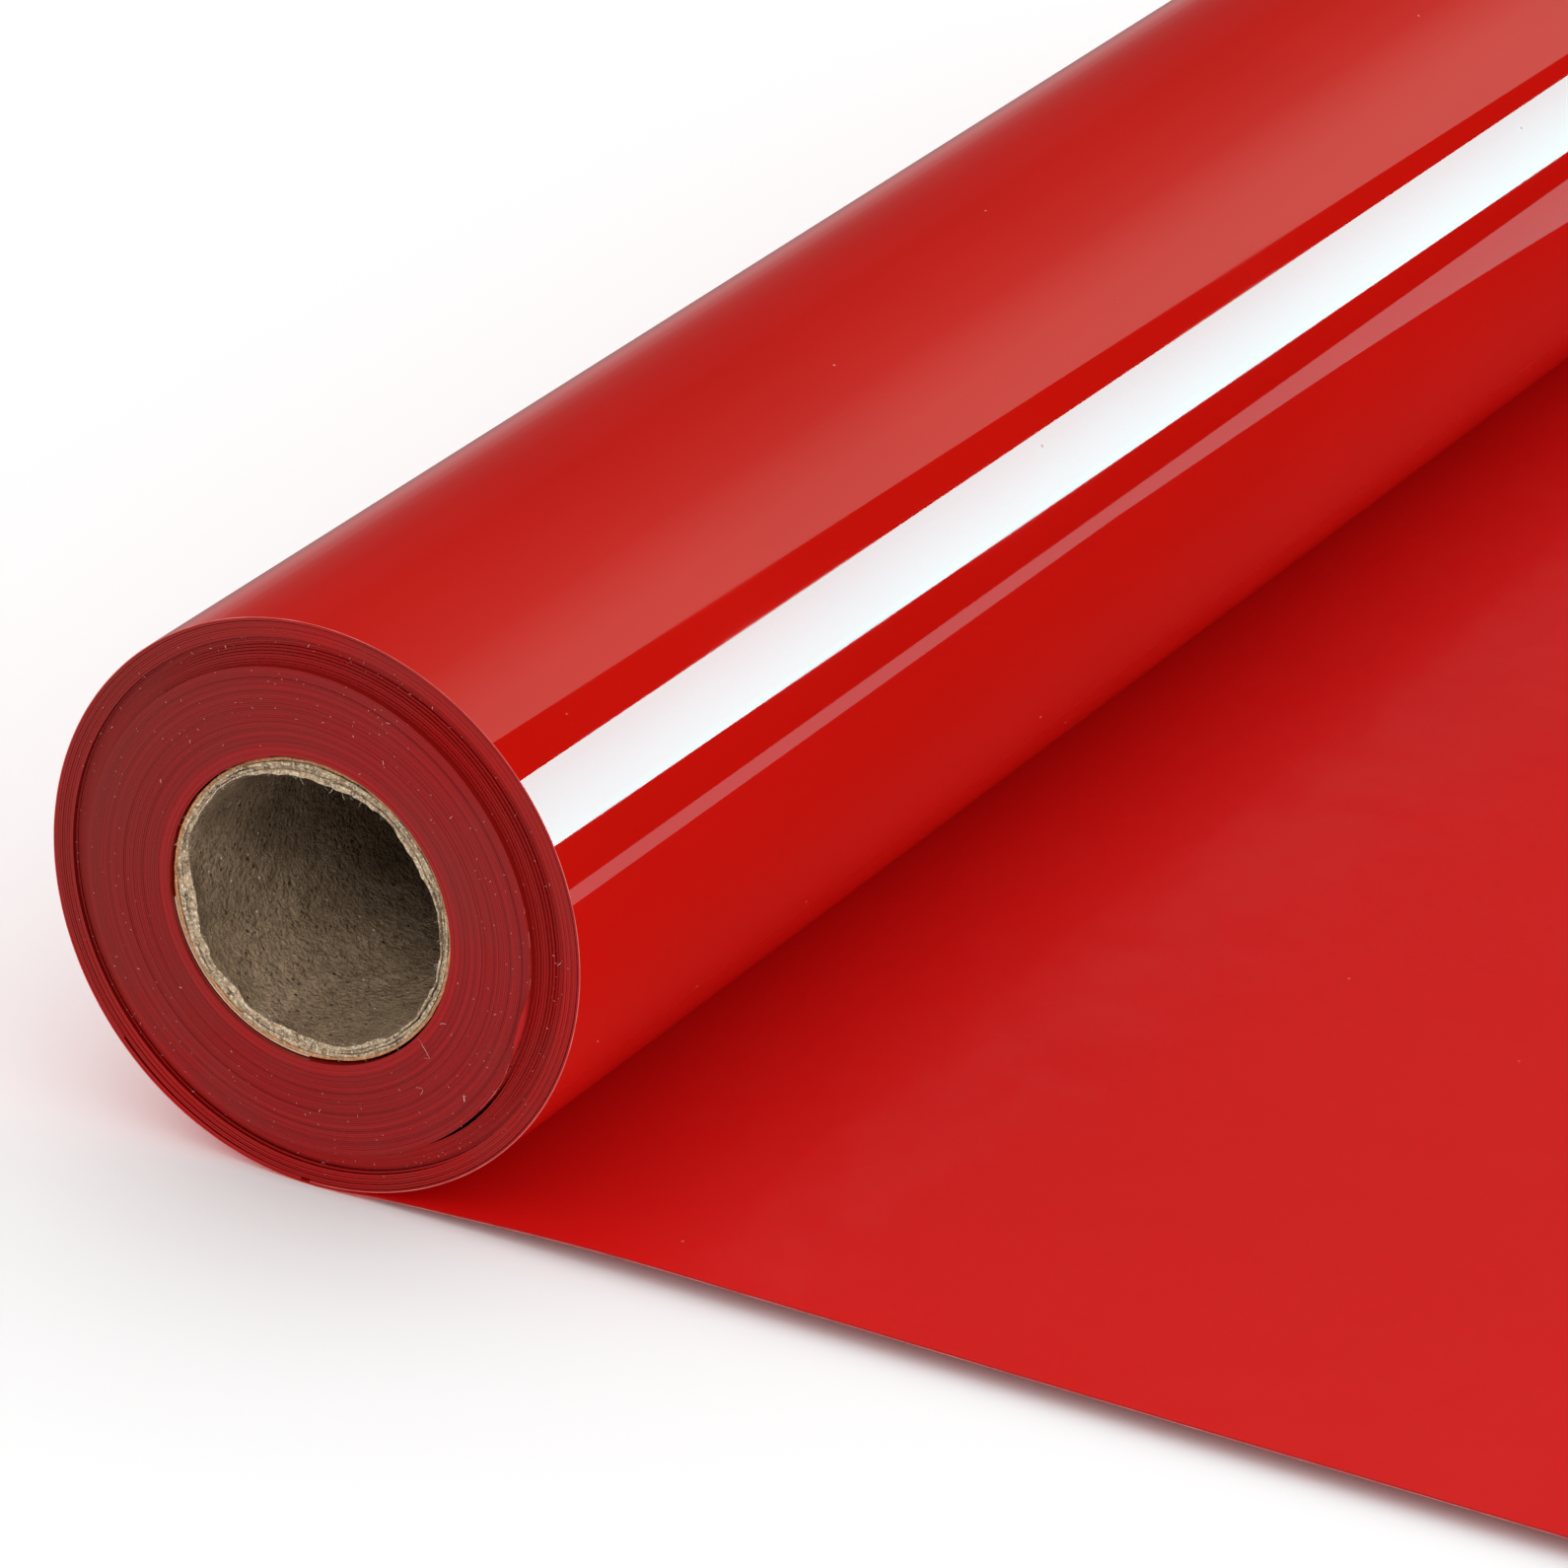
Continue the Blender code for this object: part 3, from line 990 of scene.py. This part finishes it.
def glow(name, strength, stops=None, axis=1, span=(0, 1), tint=(1, 1, 1)):
    """An emissive material, optionally graded along one of the stage's axes."""
    material = bpy.data.materials.new(name)
    material.use_nodes = True
    tree = material.node_tree
    tree.nodes.clear()
    out = tree.nodes.new("ShaderNodeOutputMaterial")
    emit = tree.nodes.new("ShaderNodeEmission")
    emit.inputs["Color"].default_value = (*tint, 1)
    emit.inputs["Strength"].default_value = strength
    tree.links.new(emit.outputs["Emission"], out.inputs["Surface"])
    if stops:
        place = tree.nodes.new("ShaderNodeTexCoord")
        split = tree.nodes.new("ShaderNodeSeparateXYZ")
        spread = tree.nodes.new("ShaderNodeMapRange")
        ramp = tree.nodes.new("ShaderNodeValToRGB")
        scale = tree.nodes.new("ShaderNodeMath")
        scale.operation = "MULTIPLY"
        scale.inputs[1].default_value = strength
        tree.links.new(place.outputs["Object"], split.inputs[0])
        tree.links.new(split.outputs[axis], spread.inputs["Value"])
        spread.inputs["From Min"].default_value, spread.inputs["From Max"].default_value = span
        tree.links.new(spread.outputs["Result"], ramp.inputs["Fac"])
        elements = ramp.color_ramp.elements
        while len(elements) < len(stops):
            elements.new(0.5)
        for element, (at, value) in zip(elements, stops):
            element.position, element.color = at, (value, value, value, 1)
        tree.links.new(ramp.outputs["Color"], scale.inputs[0])
        tree.links.new(scale.outputs["Value"], emit.inputs["Strength"])
    return material


def only_reflected(obj):
    """The roll's gloss shows it, and nothing else does."""
    obj.visible_camera = False
    obj.visible_diffuse = False
    obj.visible_shadow = False
    obj.visible_transmission = False


def soft_lamp(name, place, size, energy):
    """An area lamp turned toward the roll, which no reflection shows."""
    light = bpy.data.lights.new(name, "AREA")
    light.shape, light.size, light.size_y, light.energy = "RECTANGLE", *size, energy
    lamp = bpy.data.objects.new(name, light)
    bpy.context.scene.collection.objects.link(lamp)
    lamp.location = place
    aim = Vector((0, AXIS_Y, AXIS_Z)) - lamp.location
    lamp.rotation_mode = "QUATERNION"
    lamp.rotation_quaternion = aim.to_track_quat("-Z", "Y")
    lamp.visible_camera = False
    lamp.visible_glossy = False
    return lamp


def make_world():
    """A white world that lights the scene softly and shows in no reflection."""
    world = bpy.data.worlds.new("studio")
    bpy.context.scene.world = world
    world.use_nodes = True
    tree = world.node_tree
    tree.nodes.clear()
    path = tree.nodes.new("ShaderNodeLightPath")
    soft = tree.nodes.new("ShaderNodeBackground")
    soft.inputs["Color"].default_value = (1, 1, 1, 1)
    soft.inputs["Strength"].default_value = 1.09
    seen = tree.nodes.new("ShaderNodeBackground")
    seen.inputs["Color"].default_value = (1, 1, 1, 1)
    seen.inputs["Strength"].default_value = 1.0
    mix = tree.nodes.new("ShaderNodeMixShader")
    out = tree.nodes.new("ShaderNodeOutputWorld")
    tree.links.new(path.outputs["Is Camera Ray"], mix.inputs[0])
    tree.links.new(soft.outputs[0], mix.inputs[1])
    tree.links.new(seen.outputs[0], mix.inputs[2])
    tree.links.new(mix.outputs[0], out.inputs["Surface"])
    world.cycles_visibility.glossy = False


def make_cards():
    """What the roll's gloss reflects, and nothing else shows. Returns the bank and the flag."""
    # A bright bank of light at the front right: the sharp white strip along the roll. Its
    # colour makes up for the red under the gloss.
    wall = AXIS_Y - 1.0
    bank = stage_mesh(
        "light_bank",
        [(0.30, wall, 0.393), (2.00, wall, 0.018), (3.00, wall, 0.018), (3.00, wall, 0.36),
         (0.30, wall, 1.13)],
        glow("light_bank", 17.5, [
            (0.00, 1.0), (0.16, 0.904), (0.30, 0.808), (0.467, 0.696), (0.687, 0.568), (1.0, 0.42),
        ], axis=0, span=(1.0, 2.5), tint=(0.385, 0.935, 0.95)),
    )

    def front(x):
        """The front edge of the overhead sheet."""
        return AXIS_Y - 0.671 - 0.401 * (x - 1.301)

    # A dim overhead sheet of light, brightest at its front edge: the pink band.
    over = stage_mesh(
        "light_sheet",
        [(0.2, front(0.2), 1.0), (3.6, front(3.6), 1.0), (3.6, 1.7, 1.0), (0.2, 1.7, 1.0)],
        glow("light_sheet", 0.98, [
            (0.00, 1.0), (0.14, 0.88), (0.25, 0.58), (0.34, 0.30), (0.45, 0.19),
            (0.60, 0.11), (0.78, 0.075), (1.0, 0.08),
        ], axis=1, span=(-0.70 + AXIS_Y, 1.45 + AXIS_Y), tint=(1.0, 1.0, 0.86)),
    )
    # Darkness past the table's lit part, low at the front.
    flag_y = AXIS_Y - 11.0 * RADIUS
    flag = stage_mesh(
        "dark_flag",
        [(-0.4, flag_y, 0.0), (4.0, flag_y, 0.0), (4.0, flag_y, 0.036), (-0.4, flag_y, 0.036)],
        glow("dark_flag", 0.0),
    )
    # What the roll's back reflects: the table behind it, which fades out toward the wall.
    front_y, back, low = AXIS_Y + 0.03, AXIS_Y + 1.2, 0.0006
    behind = stage_mesh(
        "rear_table_glow",
        [(-2, front_y, low), (4, front_y, low), (4, back, low), (-2, back, low)],
        glow("rear_table_glow", 0.36, [
            (0.0, 0.55), (0.05, 0.62), (0.11, 0.90), (0.28, 0.66), (1.0, 0.50),
        ], axis=1, span=(front_y, back), tint=(1.5, 1.0, 0.98)),
    )
    above = stage_mesh(
        "rear_wall_glow",
        [(-2, back, low), (4, back, low), (4, back, 0.99), (-2, back, 0.99)],
        glow("rear_wall_glow", 0.17, [(0.0, 1.0), (0.18, 0.65), (0.46, 0.45), (1.0, 0.45)],
             axis=2, span=(0, 1.0), tint=(1.5, 1.0, 0.95)),
    )
    for card in (bank, over, flag, behind, above):
        only_reflected(card)
    return bank, flag


def make_lamps(bank, flag):
    """The lamps, and what each of them and the bank may light."""
    # The bank is flagged off everything but the roll's glossy outside.
    lit = bpy.data.collections.new("lit_alone")
    lit.objects.link(bpy.data.objects["outermost_carrier"])
    bank.light_linking.receiver_collection = lit

    soft_lamp("side_light", (0.0, AXIS_Y - 1.35, 0.11), (1.8, 0.16), 1.6)
    # The table's bounce onto the roll's underside, which the web under it would hold back.
    bounce = soft_lamp("bounce_light", (0.0, AXIS_Y - 0.10, -1.0), (0.6, 0.6), 3.0)
    bounce.light_linking.receiver_collection = lit
    clear = bpy.data.collections.new("in_its_way")
    clear.objects.link(flag)
    bounce.light_linking.blocker_collection = clear
    # Light from above the near end, into the core alone.
    mouth = soft_lamp("core_light", (NEAR - 0.75, AXIS_Y - 0.30, 0.85), (0.4, 0.4), 7.0)
    core = bpy.data.collections.new("core_plies")
    for number in range(1, len(PLIES) + 1):
        core.objects.link(bpy.data.objects[f"board_ply_{number}"])
    mouth.light_linking.receiver_collection = core


make_camera()
make_floor()
make_world()
make_lamps(*make_cards())
bpy.context.scene.view_settings.view_transform = "Standard"

bpy.context.view_layer.update()
